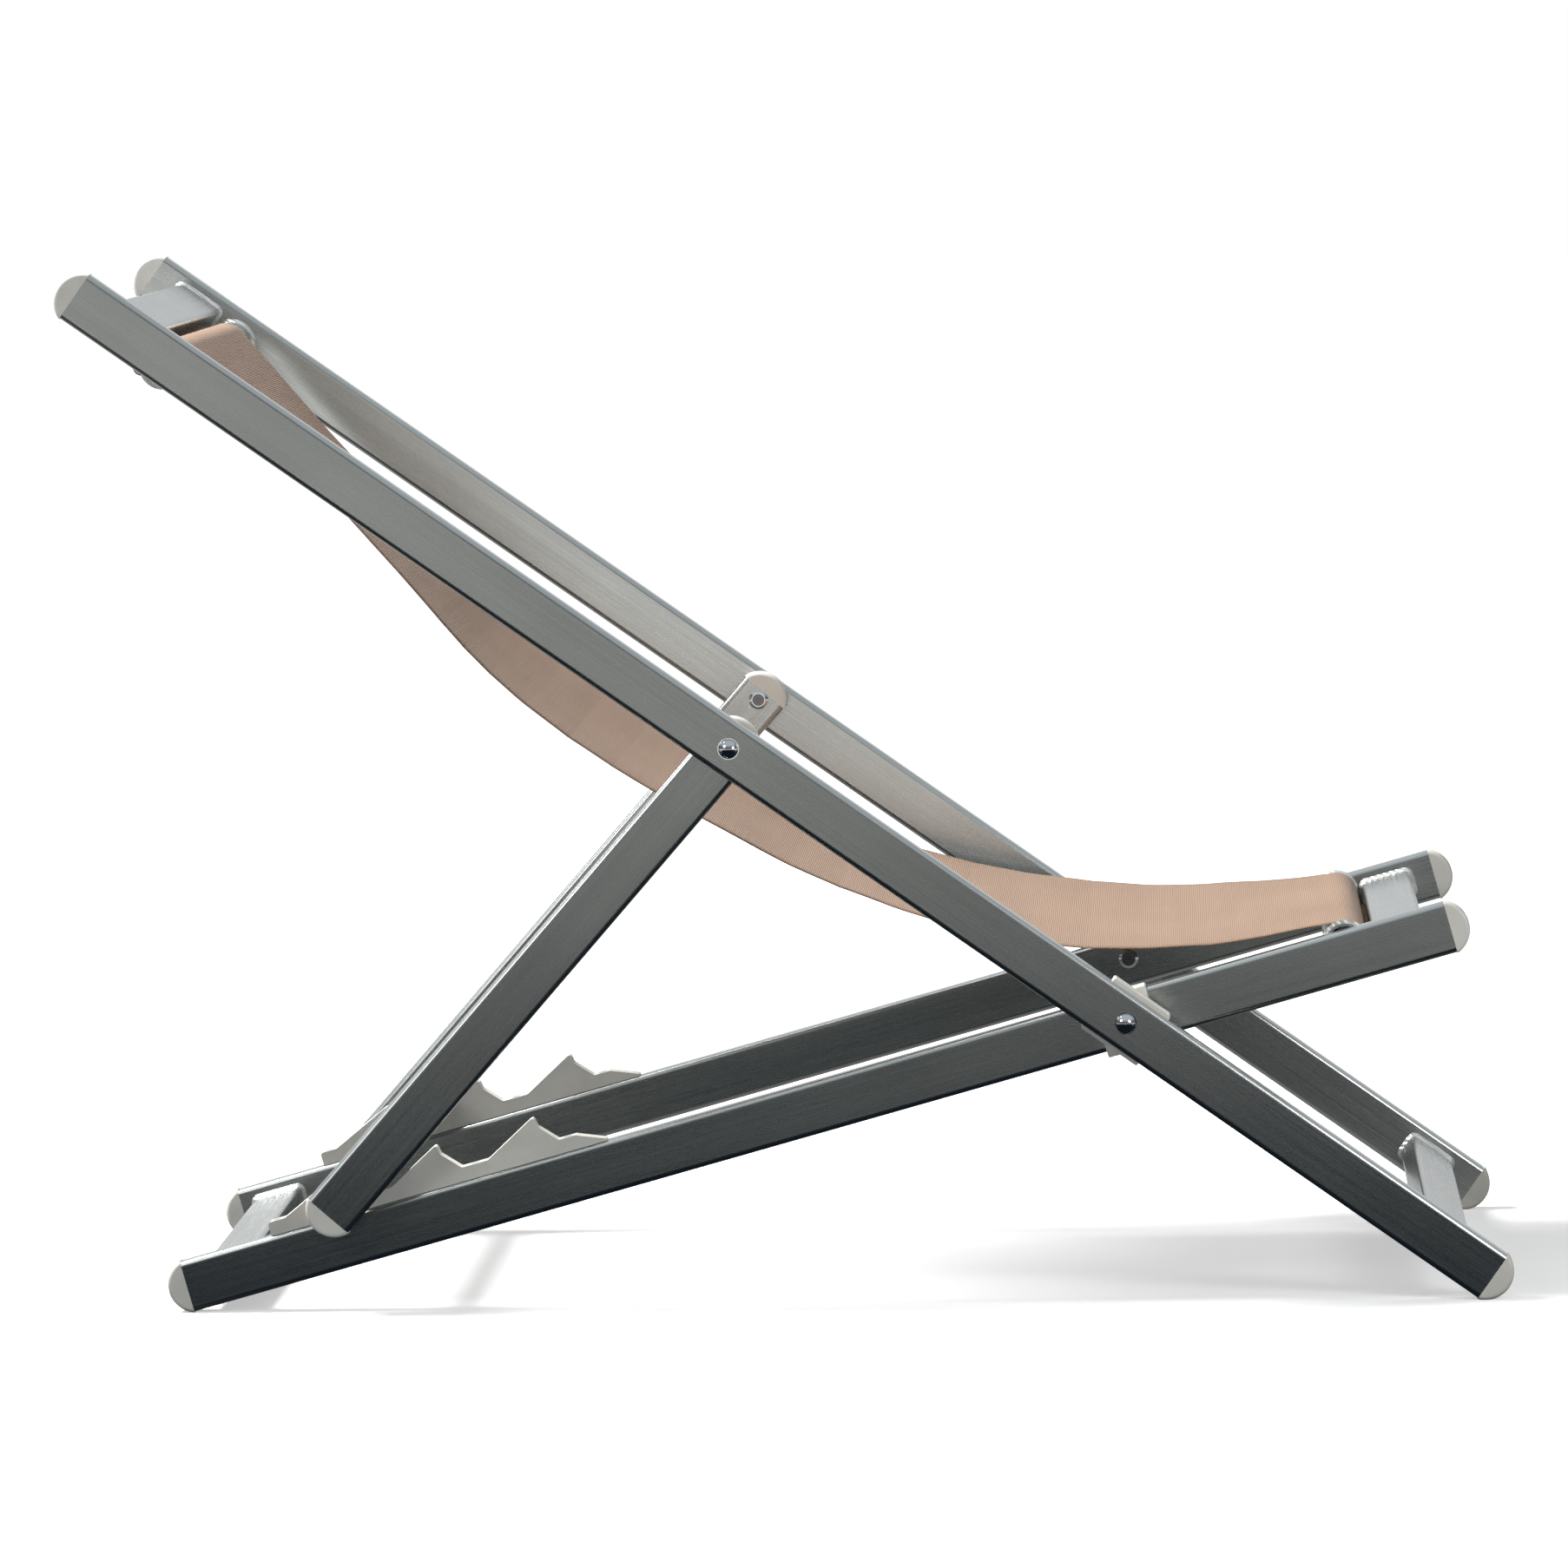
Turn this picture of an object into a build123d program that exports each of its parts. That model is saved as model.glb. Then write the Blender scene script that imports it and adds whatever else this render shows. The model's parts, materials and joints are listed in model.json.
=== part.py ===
from build123d import *

import os
from math import asin, atan2, cos, degrees, dist, hypot, radians, sin, tan

# A folding deck chair: three welded frames of one aluminium profile, and a hanging sling of ribbed mesh.
# Millimetres. +Z is up, +X runs from the head to the front feet, and left and right mirror each other
# across Y = 0, with left at +Y. The origin is on the ground under the middle of the chair.

# The one aluminium profile that rails, legs and crossbars are cut from
profile_depth = 40.0
profile_thick = 20.0
profile_wall = 1.8
profile_corner = 4.0

# Across the chair: long rails outermost, then the prop legs, then the seat rails
long_rail_spread = 560.0
layer_gap = 5.7

# Long rails, measured along the rail from the lower pivot
long_rail_behind = 974.0
long_rail_ahead = 341.0
upper_pivot_behind = 368.3
back_angle = 35.84

# Seat rails, measured along the rail from the lower pivot, which is drilled a little above the axis
seat_rail_behind = 755.3
seat_rail_ahead = 257.9
seat_pivot_rise = 2.7

# Prop legs, measured along the leg from the upper pivot
prop_leg_below = 477.5
prop_leg_above = 7.7
prop_bar_below = 428.5
prop_bar_offset = 4.3

# Crossbars of the back and seat frames: distance from the lower pivot to the bar's centre
head_bar_behind = 932.0
foot_bar_ahead = 297.0
rear_bar_behind = 724.0
front_bar_ahead = 219.0

# Round tubes that carry the sling, beside the head and front crossbars
sling_tube_radius = 16.0
sling_tube_wall = 2.0
sling_slot = 6.0
head_tube_rise = -6.0
front_tube_rise = 8.0

# Weld beads
weld_leg = 2.8
weld_slope = 42.0

# End caps, domed in side view, with a plug inside the profile
cap_dome = 15.0
cap_overhang = 0.8
cap_rim = 3.2
cap_plug = 14.0
cap_plug_clearance = 0.2
cap_plug_lead = 0.8
ground_flat = 0.3

# Toothed racks on the seat rails
rack_thick = 16.0
rack_floor = 10.8
rack_tooth = 22.2
rack_hook = 8.0
rack_hook_lean = 1.4
rack_face_run = 13.2
rack_face_drop = 14.2
rack_floor_run = 21.0
rack_pitch = 78.0
rack_back_ramp = 50.0
rack_back_pad = 14.0
rack_front_floor = 13.4
rack_front_ramp = 26.4
rack_tip_round = 1.8
rack_soft_round = 2.5
rack_teeth = 3
rack_seat_clearance = 0.3
rack_face_clearance = 2.0

# Rack screws
rack_screw_radius = 1.9
rack_screw_head = 3.8
rack_screw_length = 14.0
rack_screw_fit = 0.1

# Pivot hardware
shank_radius = 4.0
shank_fit = 0.05
shank_short = 0.5
thread_radius = 3.0
thread_fit = 0.1
thread_depth = 24.0
screw_reach = 22.0
nut_rim_radius = 8.4
nut_rim = 0.9
nut_dome_radius = 7.5
nut_dome = 4.6
dish_radius = 7.9
dish_rim = 0.6
dish_height = 2.2
dish_seat = 0.8
screw_head_radius = 5.0
socket_radius = 2.3
socket_depth = 1.3
bush_radius = 6.5
spacer_washer_radius = 11.0
running_gap = 0.3

# Plastic saddles of the lower pivots
rail_saddle_length = 52.0
seat_saddle_length = 42.0
saddle_lip = 3.0
saddle_wrap = 12.0
saddle_round = 1.5

# Sling of mesh with a sewn pocket round a rod at each end
sling_width = 424.0
sling_thick = 1.0
sling_clearance = 0.3
hem_rod_radius = 5.5
hem_rod_overhang = 3.0

# The sling's hanging curve between the two tubes, as shares of their distance: along, and below
sling_sag_shares = [
    (0.223, 0.072),
    (0.307, 0.109),
    (0.397, 0.130),
    (0.516, 0.137),
    (0.635, 0.135),
    (0.729, 0.118),
    (0.823, 0.087),
    (0.907, 0.045),
]
sling_bend_share = 0.45

# One overrun serves every cut
overrun = 5.0

# Places across the chair
long_y = long_rail_spread / 2
prop_y = long_y - profile_thick - layer_gap
seat_y = prop_y - profile_thick - layer_gap
half_thick = profile_thick / 2
half_depth = profile_depth / 2

# End cap circle, and the angle at which the rear caps and the front caps both reach the ground
cap_half_chord = half_depth + cap_overhang
cap_radius = (cap_half_chord**2 + cap_dome**2) / (2 * cap_dome)
cap_inset = cap_radius - cap_dome
ground_height = cap_radius - ground_flat
back_turn = radians(back_angle)
pivot_height = ground_height + (long_rail_ahead - cap_inset) * sin(back_turn)
rear_reach = hypot(seat_rail_behind - cap_inset, seat_pivot_rise)
rear_lean = atan2(seat_pivot_rise, seat_rail_behind - cap_inset)
seat_turn = asin((pivot_height - ground_height) / rear_reach) - rear_lean
head_end = (long_rail_behind - cap_inset) * cos(back_turn) + cap_radius
foot_end = (long_rail_ahead - cap_inset) * cos(back_turn) + cap_radius
pivot_x = (head_end - foot_end) / 2
upper_x = pivot_x - upper_pivot_behind * cos(back_turn)
upper_z = pivot_height + upper_pivot_behind * sin(back_turn)

# The prop leg's angle to the seat rail, at which its crossbar stands in the rearmost notch
open_turn = back_turn + seat_turn
bar_low_along = prop_bar_below + half_depth - profile_corner
bar_low_across = prop_bar_offset + half_thick - profile_corner
upper_along = upper_pivot_behind * cos(open_turn)
upper_above = upper_pivot_behind * sin(open_turn) + seat_pivot_rise
notch_above = half_depth + rack_floor + profile_corner + rack_seat_clearance
corner_reach = hypot(bar_low_along, bar_low_across)
corner_lean = atan2(bar_low_across, bar_low_along)
prop_to_seat = asin((upper_above - notch_above) / corner_reach) - corner_lean
prop_turn = prop_to_seat + seat_turn

# Each frame is drawn in its own axes, X along its rails from its pivot, and then placed
back_place = Location((pivot_x, 0, pivot_height), (0, back_angle, 0))
seat_place = Location((pivot_x, 0, pivot_height), (0, -degrees(seat_turn), 0))
prop_place = Location((upper_x, 0, upper_z), (0, 180 - degrees(prop_turn), 0))
seat_axis_z = -seat_pivot_rise


def profile_section(width, height):
    outer = RectangleRounded(width, height, profile_corner)
    inner = RectangleRounded(
        width - 2 * profile_wall,
        height - 2 * profile_wall,
        profile_corner - profile_wall,
    )
    return outer - inner


def rod(x, z, y_from, y_to, radius):
    middle = (y_from + y_to) / 2
    return Pos(x, middle, z) * Rot(90, 0, 0) * Cylinder(radius, abs(y_to - y_from))


def ring(x, z, y_from, y_to, outer, inner):
    return rod(x, z, y_from, y_to, outer) - rod(x, z, y_from - overrun, y_to + overrun, inner)


def rail(x_from, x_to, y, z):
    section = Plane.YZ.offset(x_from) * Pos(y, z) * profile_section(profile_thick, profile_depth)
    return extrude(section, amount=x_to - x_from)


def crossbar(x, z, half_length):
    section = Plane.XZ * Pos(x, z) * profile_section(profile_depth, profile_thick)
    return extrude(section, amount=half_length, both=True)


def sling_tube(x, z, half_length):
    return ring(x, z, -half_length, half_length, sling_tube_radius, sling_tube_radius - sling_tube_wall)


def bar_weld(x, z, y):
    bead_width = profile_depth + 2 * weld_leg
    bead_height = profile_thick + 2 * weld_leg
    toe = Plane(origin=(x, y, z), x_dir=(1, 0, 0), z_dir=(0, -1, 0))
    outline = toe * RectangleRounded(bead_width, bead_height, profile_corner + weld_leg)
    bead = extrude(outline, amount=weld_leg, taper=weld_slope)
    solid_bar = toe.offset(-overrun) * RectangleRounded(profile_depth, profile_thick, profile_corner)
    return bead - extrude(solid_bar, amount=weld_leg + 2 * overrun)


def tube_weld(x, z, y):
    toe = Plane(origin=(x, y, z), x_dir=(1, 0, 0), z_dir=(0, -1, 0))
    bead = extrude(toe * Circle(sling_tube_radius + weld_leg), amount=weld_leg, taper=weld_slope)
    return bead - rod(x, z, y + overrun, y - weld_leg - overrun, sling_tube_radius)


def both_sides(shape):
    return [shape, mirror(shape, Plane.XZ)]


def end_cap(x_end, y, z, outward):
    """A domed cap on a rail end; outward is 1 where the rail's end faces +X and -1 where it faces -X."""
    low = (x_end, -cap_half_chord)
    high = (x_end, cap_half_chord)
    crown = (x_end + outward * cap_dome, 0)
    outline = ThreePointArc(low, crown, high) + Line(high, low)
    dome = extrude(Plane.XZ * Pos(0, z) * make_face(outline), amount=half_thick, both=True)
    rims = dome.edges().filter_by(GeomType.CIRCLE)
    dome = fillet(rims, cap_rim)
    plug_fit = profile_wall + cap_plug_clearance
    plug_thick = profile_thick - 2 * plug_fit
    plug_depth = profile_depth - 2 * plug_fit
    inner_corner = profile_corner - profile_wall
    section = Plane.YZ.offset(x_end) * Pos(0, z) * RectangleRounded(plug_thick, plug_depth, inner_corner)
    plug = extrude(section, amount=-outward * cap_plug)
    tip = plug.faces().sort_by(Axis.X)[-1 if outward < 0 else 0]
    plug = chamfer(tip.edges(), cap_plug_lead)
    return Pos(0, y, 0) * (dome + plug)


def grounded(shape):
    """The shape with everything below the ground cut off flat."""
    corner = shape.bounding_box()
    size = corner.size.length + overrun
    block = Box(size, size, size, align=(Align.CENTER, Align.CENTER, Align.MAX))
    return shape - Pos(corner.center().X, corner.center().Y, 0) * block


def turned(points):
    return revolve(make_face(Polyline(*points, close=True)), Axis.Y)


def dome_nut(y_face, y_end):
    """A sleeve nut: domed head against y_face, shank running in to y_end."""
    dome_edge = (nut_dome_radius, nut_rim)
    crown = (0, nut_rim + nut_dome)
    outline = TangentArc(crown, dome_edge, tangent=(1, 0)) + Polyline(dome_edge, (0, nut_rim), crown)
    dome = revolve(make_face(outline), Axis.Y)
    rim = rod(0, 0, 0, nut_rim, nut_rim_radius)
    shank = rod(0, 0, 0, y_end - y_face, shank_radius)
    nut = Pos(0, y_face, 0) * (dome + rim + shank)
    return nut - rod(0, 0, y_end - overrun, y_end + thread_depth, thread_radius)


def dished_washer(y_face):
    hole = thread_radius + thread_fit
    outline = [
        (hole, 0),
        (dish_radius, 0),
        (dish_radius, dish_rim),
        (screw_head_radius + dish_rim, dish_height),
        (screw_head_radius, dish_height),
        (hole, dish_seat),
    ]
    return Pos(0, y_face, 0) * Rot(180, 0, 0) * turned(outline)


def socket_screw(y_face):
    stem = thread_radius - thread_fit
    outline = [
        (0, -screw_reach),
        (stem, -screw_reach),
        (stem, dish_seat),
        (screw_head_radius - thread_fit, dish_height),
        (0, dish_height),
    ]
    socket_sketch = Plane.XZ.offset(-dish_height + socket_depth) * RegularPolygon(socket_radius, 6)
    socket = extrude(socket_sketch, amount=-overrun)
    return Pos(0, y_face, 0) * Rot(180, 0, 0) * (turned(outline) - socket)


def saddle(length, rail_y, rail_z, web_from, web_to, toward):
    """A block beside a rail with lips over its upper and lower edges; toward is the side the lips point."""
    height = profile_depth + 2 * saddle_lip
    lip_end = web_from + toward * saddle_wrap
    middle = (web_to + lip_end) / 2
    block = Pos(0, middle, rail_z) * Box(length, abs(lip_end - web_to), height)
    block = fillet(block.edges().filter_by(Axis.Y), saddle_round)
    blank = Plane.YZ.offset(-length) * Pos(rail_y, rail_z) * RectangleRounded(
        profile_thick, profile_depth, profile_corner
    )
    block = block - extrude(blank, amount=2 * length)
    hole_ends = sorted([web_to, lip_end])
    return block - rod(0, 0, hole_ends[0] - overrun, hole_ends[1] + overrun, shank_radius + shank_fit)


def rack_outline(tip_x):
    """Corner points and their radii, from the rear end forwards, above the rail's top at z = 0."""
    tip_z = rack_floor + rack_tooth
    points = [(tip_x - rack_back_ramp - rack_back_pad, 0)]
    points.append((tip_x - rack_back_ramp - rack_back_pad, rack_floor))
    points.append((tip_x - rack_back_ramp, rack_floor))
    radii = [rack_tip_round / 2, rack_soft_round, rack_soft_round]
    for tooth in range(rack_teeth):
        x = tip_x + tooth * rack_pitch
        hook = (x + rack_hook_lean, tip_z - rack_hook)
        foot_x = x + rack_hook_lean + rack_face_run
        points += [(x, tip_z), hook, (foot_x, hook[1] - rack_face_drop)]
        radii += [rack_tip_round, rack_soft_round, rack_soft_round]
        if tooth < rack_teeth - 1:
            points.append((foot_x + rack_floor_run, rack_floor))
            radii.append(rack_soft_round)
    front = foot_x + rack_front_floor
    points += [(front, rack_floor), (front + rack_front_ramp, 0)]
    radii += [rack_soft_round, rack_tip_round / 2]
    return points, radii


def rack_screw(x, z):
    """A countersunk screw, head down from z along -Z, centred on the rack."""
    cone = rack_screw_head - rack_screw_radius
    outline = [
        (0, 0),
        (rack_screw_head, 0),
        (rack_screw_radius, -cone),
        (rack_screw_radius, -rack_screw_length),
        (0, -rack_screw_length),
    ]
    body = revolve(Plane.XZ * make_face(Polyline(*outline, close=True)), Axis.Z)
    return Pos(x, seat_y, z) * body


def screw_hole(x, z):
    cone = rack_screw_head - rack_screw_radius
    wide = rack_screw_head + rack_screw_fit
    narrow = rack_screw_radius + rack_screw_fit
    outline = [
        (0, overrun),
        (wide, overrun),
        (wide, 0),
        (narrow, -cone),
        (narrow, -rack_screw_length - overrun),
        (0, -rack_screw_length - overrun),
    ]
    body = revolve(Plane.XZ * make_face(Polyline(*outline, close=True)), Axis.Z)
    return Pos(x, seat_y, z) * body


def in_plane(place, x, z):
    """A point of a frame's own side plane, as (x, z) of the chair."""
    point = (place * Pos(x, 0, z)).position
    return (point.X, point.Z)


def step(here, there, length):
    whole = dist(here, there)
    return tuple(a + (b - a) * length / whole for a, b in zip(here, there))


def tangent_corner(centre, radius, outside, drop_point, drop_towards):
    """Where the line from outside, tangent to the upper side of a circle, meets the line of the slot."""
    gap = dist(outside, centre)
    heading = atan2(centre[1] - outside[1], centre[0] - outside[0])
    side = 1 if centre[0] > outside[0] else -1
    swing = heading + side * asin(radius / gap)
    run = (cos(swing), sin(swing))
    drop = (drop_towards[0] - drop_point[0], drop_towards[1] - drop_point[1])
    across = run[0] * drop[1] - run[1] * drop[0]
    offset = (drop_point[0] - outside[0], drop_point[1] - outside[1])
    along = (offset[0] * drop[1] - offset[1] * drop[0]) / across
    return (outside[0] + run[0] * along, outside[1] + run[1] * along)


def pocket_depth(slot_to_tube, tube_rise):
    """How far below the rail axis a hem pocket hangs, clear of the tube and of the crossbar's corner."""
    reach = pocket_radius + sling_thick / 2 + sling_clearance
    tube_reach = sling_tube_radius + reach
    below_tube = (tube_reach**2 - slot_to_tube**2) ** 0.5 - tube_rise
    corner_across = sling_slot - sling_tube_slack + profile_corner
    corner_reach_here = profile_corner + reach
    below_corner = (corner_reach_here**2 - corner_across**2) ** 0.5 + half_thick - profile_corner
    return max(below_tube, below_corner)


made = {}


def keep(place, name, shapes):
    if not isinstance(shapes, list):
        shapes = [shapes]
    made[name] = [place * shape for shape in shapes]


def keep_sides(place, name, shape):
    left, right = both_sides(shape)
    keep(place, name + "_left", left)
    keep(place, name + "_right", right)


# Back frame
long_hole = shank_radius + shank_fit
long_rail = rail(-long_rail_behind, long_rail_ahead, long_y, 0)
for hole_x in (0, -upper_pivot_behind):
    long_rail -= rod(hole_x, 0, long_y - profile_thick, long_y + profile_thick, long_hole)
keep_sides(back_place, "long_rail", long_rail)

long_inner = long_y - half_thick
long_outer = long_y + half_thick
keep(back_place, "head_crossbar", crossbar(-head_bar_behind, 0, long_inner))
keep(back_place, "foot_crossbar", crossbar(foot_bar_ahead, 0, long_inner))
slot_side_head = head_bar_behind - half_depth
head_tube_behind = slot_side_head - sling_slot - sling_tube_radius
keep(back_place, "head_sling_tube", sling_tube(-head_tube_behind, head_tube_rise, long_inner))
head_beads = both_sides(bar_weld(-head_bar_behind, 0, long_inner))
head_tube_beads = both_sides(tube_weld(-head_tube_behind, head_tube_rise, long_inner))
bead_trim = crossbar(-head_bar_behind, 0, long_rail_spread)
head_tube_beads = [bead - head_beads[i] - bead_trim for i, bead in enumerate(head_tube_beads)]
keep(back_place, "head_welds", head_beads + head_tube_beads)
keep(back_place, "foot_welds", both_sides(bar_weld(foot_bar_ahead, 0, long_inner)))
keep_sides(back_place, "head_cap", end_cap(-long_rail_behind, long_y, 0, -1))

foot_cap = end_cap(long_rail_ahead, long_y, 0, 1)
keep_sides(Location(), "foot_cap", grounded(back_place * foot_cap))

# Seat frame
seat_inner = seat_y - half_thick
seat_outer = seat_y + half_thick
rack_top_z = seat_axis_z + half_depth

seat_rail = rail(-seat_rail_behind, seat_rail_ahead, seat_y, seat_axis_z)
seat_rail -= rod(0, 0, seat_y - profile_thick, seat_y + profile_thick, bush_radius)

# The rack's rear tooth stands behind the corner of the prop crossbar
corner_x = -(upper_along + bar_low_along * cos(prop_to_seat) - bar_low_across * sin(prop_to_seat))
face_length = hypot(rack_face_run, rack_face_drop)
face_reach = profile_corner + rack_face_clearance
corner_lift = profile_corner + rack_seat_clearance
rise_share = rack_face_run / face_length
fall_share = rack_face_drop / face_length
floor_corner_x = corner_x - (face_reach - corner_lift * rise_share) / fall_share
rear_tip_x = floor_corner_x - rack_face_run - rack_hook_lean

rack_points, rack_radii = rack_outline(rear_tip_x)
rack_wire = FilletPolyline(*rack_points, radius=rack_radii, close=True)
rack_face = Plane.XZ.offset(-seat_y) * Pos(0, rack_top_z) * make_face(rack_wire)
rack = extrude(rack_face, amount=rack_thick / 2, both=True)

notch_middle = rear_tip_x + rack_hook_lean + rack_face_run + rack_floor_run / 2
front_floor_x = rear_tip_x + (rack_teeth - 1) * rack_pitch + rack_hook_lean + rack_face_run
screw_xs = [
    rear_tip_x - rack_back_ramp - rack_back_pad / 2,
    notch_middle + rack_pitch,
    front_floor_x + rack_front_floor / 2,
]
screw_z = rack_top_z + rack_floor
rack_screws = []
for screw_x in screw_xs:
    rack -= screw_hole(screw_x, screw_z)
    seat_rail -= screw_hole(screw_x, screw_z)
    rack_screws += both_sides(rack_screw(screw_x, screw_z))

keep_sides(seat_place, "seat_rail", seat_rail)
keep_sides(seat_place, "rack", rack)
keep(seat_place, "rack_screws", rack_screws)
keep(seat_place, "rear_crossbar", crossbar(-rear_bar_behind, seat_axis_z, seat_inner))
keep(seat_place, "front_crossbar", crossbar(front_bar_ahead, seat_axis_z, seat_inner))
slot_side_front = front_bar_ahead - half_depth
front_tube_ahead = slot_side_front - sling_slot - sling_tube_radius
front_tube_z = seat_axis_z + front_tube_rise
keep(seat_place, "front_sling_tube", sling_tube(front_tube_ahead, front_tube_z, seat_inner))
front_beads = both_sides(bar_weld(front_bar_ahead, seat_axis_z, seat_inner))
front_tube_beads = both_sides(tube_weld(front_tube_ahead, front_tube_z, seat_inner))
bead_trim = crossbar(front_bar_ahead, seat_axis_z, long_rail_spread)
front_tube_beads = [bead - front_beads[i] - bead_trim for i, bead in enumerate(front_tube_beads)]
keep(seat_place, "front_welds", front_beads + front_tube_beads)
keep(seat_place, "rear_welds", both_sides(bar_weld(-rear_bar_behind, seat_axis_z, seat_inner)))
keep_sides(seat_place, "seat_front_cap", end_cap(seat_rail_ahead, seat_y, seat_axis_z, 1))
rear_cap = end_cap(-seat_rail_behind, seat_y, seat_axis_z, -1)
keep_sides(Location(), "seat_rear_cap", grounded(seat_place * rear_cap))
seat_bush = ring(0, 0, seat_inner, seat_outer, bush_radius, long_hole)
keep_sides(seat_place, "seat_bush", seat_bush)

# Prop frame
prop_inner = prop_y - half_thick
prop_outer = prop_y + half_thick
prop_leg = rail(-prop_leg_above, prop_leg_below, prop_y, 0)
prop_leg -= rod(0, 0, prop_y - profile_thick, prop_y + profile_thick, bush_radius)
keep_sides(prop_place, "prop_leg", prop_leg)
keep(prop_place, "prop_crossbar", crossbar(prop_bar_below, prop_bar_offset, prop_inner))
keep(prop_place, "prop_welds", both_sides(bar_weld(prop_bar_below, prop_bar_offset, prop_inner)))
# The top cap's plug is forked round the pivot bush
top_cap = end_cap(-prop_leg_above, prop_y, 0, -1)
top_cap -= rod(0, 0, prop_inner, prop_outer, bush_radius + cap_plug_clearance)
keep_sides(prop_place, "prop_top_cap", top_cap)
keep_sides(prop_place, "prop_foot_cap", end_cap(prop_leg_below, prop_y, 0, 1))
keep_sides(prop_place, "prop_bush", ring(0, 0, prop_inner, prop_outer, bush_radius, long_hole))

# Pivots, whose nuts and screws stay with the long rails
upper_place = back_place * Pos(-upper_pivot_behind, 0, 0)
pivots = {"upper": (upper_place, prop_inner), "lower": (back_place, seat_inner)}
spacers = []
spacer_from = long_inner + profile_wall
spacer_to = long_outer - profile_wall
for pivot_name, (pivot_place, inner_face) in pivots.items():
    washer_face = inner_face - running_gap
    keep_sides(pivot_place, pivot_name + "_dome_nut", dome_nut(long_outer, inner_face + shank_short))
    keep_sides(pivot_place, pivot_name + "_socket_screw", socket_screw(washer_face))
    keep(pivot_place, pivot_name + "_dished_washers", both_sides(dished_washer(washer_face)))
    spacer = ring(0, 0, spacer_from, spacer_to, bush_radius, long_hole)
    spacers += [pivot_place * piece for piece in both_sides(spacer)]
keep(Location(), "rail_spacer_tubes", spacers)
spacer_washer = ring(0, 0, prop_outer + running_gap, long_inner, spacer_washer_radius, long_hole)
keep(upper_place, "spacer_washers", both_sides(spacer_washer))

saddle_middle = (long_inner + seat_outer) / 2
rail_saddle = saddle(rail_saddle_length, long_y, 0, long_inner, saddle_middle + running_gap / 2, 1)
keep_sides(back_place, "rail_saddle", rail_saddle)
seat_saddle = saddle(
    seat_saddle_length, seat_y, seat_axis_z, seat_outer, saddle_middle - running_gap / 2, -1
)
keep_sides(seat_place, "seat_saddle", seat_saddle)

# Sling: up from the head pocket, over the head tube, down in its curve, over the front tube to its pocket
pocket_radius = hem_rod_radius + sling_clearance + sling_thick / 2
wrap_radius = sling_tube_radius + sling_clearance + sling_thick / 2
sling_tube_slack = sling_clearance + sling_thick / 2
head_drop_x = -head_tube_behind - wrap_radius
front_drop_x = front_tube_ahead + wrap_radius
head_pocket_z = -pocket_depth(wrap_radius, head_tube_rise)
front_pocket_z = seat_axis_z - pocket_depth(wrap_radius, front_tube_rise)
head_pocket = in_plane(back_place, head_drop_x, head_pocket_z)
front_pocket = in_plane(seat_place, front_drop_x, front_pocket_z)
head_centre = in_plane(back_place, -head_tube_behind, head_tube_rise)
front_centre = in_plane(seat_place, front_tube_ahead, front_tube_z)

span = dist(head_centre, front_centre)
sag_points = []
for along_share, below_share in sling_sag_shares:
    x = head_centre[0] + (front_centre[0] - head_centre[0]) * along_share
    z = head_centre[1] + (front_centre[1] - head_centre[1]) * along_share
    x += below_share * (front_centre[1] - head_centre[1])
    z -= below_share * (front_centre[0] - head_centre[0])
    sag_points.append((x, z))
head_slot_top = in_plane(back_place, head_drop_x, 0)
front_slot_top = in_plane(seat_place, front_drop_x, 0)
head_corner = tangent_corner(head_centre, wrap_radius, sag_points[0], head_pocket, head_slot_top)
front_corner = tangent_corner(front_centre, wrap_radius, sag_points[-1], front_pocket, front_slot_top)
head_start = step(head_pocket, head_slot_top, pocket_radius)
front_finish = step(front_pocket, front_slot_top, pocket_radius)

route = [head_start, head_corner] + sag_points + [front_corner, front_finish]
bends = [wrap_radius]
for before, here, after in zip(route[1:], route[2:], route[3:-1]):
    into = atan2(here[1] - before[1], here[0] - before[0])
    out = atan2(after[1] - here[1], after[0] - here[0])
    shorter = min(dist(before, here), dist(here, after))
    bends.append(shorter * sling_bend_share / tan(abs(out - into) / 2))
bends.append(wrap_radius)
sling_path = Plane.XZ * FilletPolyline(*route, radius=bends)
path_start = sling_path @ 0
sling_edge = Plane(origin=path_start, x_dir=(0, 1, 0), z_dir=sling_path % 0)
sling = sweep(sling_edge * Rectangle(sling_width, sling_thick), path=sling_path)
half_width = sling_width / 2
for pocket in (head_pocket, front_pocket):
    shell = rod(*pocket, -half_width, half_width, pocket_radius + sling_thick / 2)
    sling = sling + shell
for pocket in (head_pocket, front_pocket):
    hollow = hem_rod_radius + sling_clearance
    sling = sling - rod(*pocket, -half_width - overrun, half_width + overrun, hollow)
keep(Location(), "sling", sling)
rod_half = half_width + hem_rod_overhang
keep(Location(), "head_hem_rod", rod(*head_pocket, -rod_half, rod_half, hem_rod_radius))
keep(Location(), "front_hem_rod", rod(*front_pocket, -rod_half, rod_half, hem_rod_radius))

os.makedirs("parts", exist_ok=True)
for name, shapes in made.items():
    solids = [solid for shape in shapes for solid in shape.solids()]
    piece = solids[0] if len(solids) == 1 else Compound(children=solids)
    export_step(piece, f"parts/{name}.step")

print("lower pivot", round(pivot_x, 3), round(pivot_height, 3))
print("upper pivot", round(upper_x, 3), round(upper_z, 3))
print("rear notch corner", round(floor_corner_x, 3), "rear cap end", -seat_rail_behind)
print("seat angle", round(degrees(seat_turn), 3), "prop angle", round(degrees(prop_turn), 3))
print("sling length", round(sling_path.length, 1), "span", round(span, 1), "nodes", len(made))
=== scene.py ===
"""The looks of a folding deck chair: brushed profile, ivory plastic, steel nuts and a mesh sling."""

import json
from math import asin, atan2, cos, dist, pi, radians, sin, tan

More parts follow.
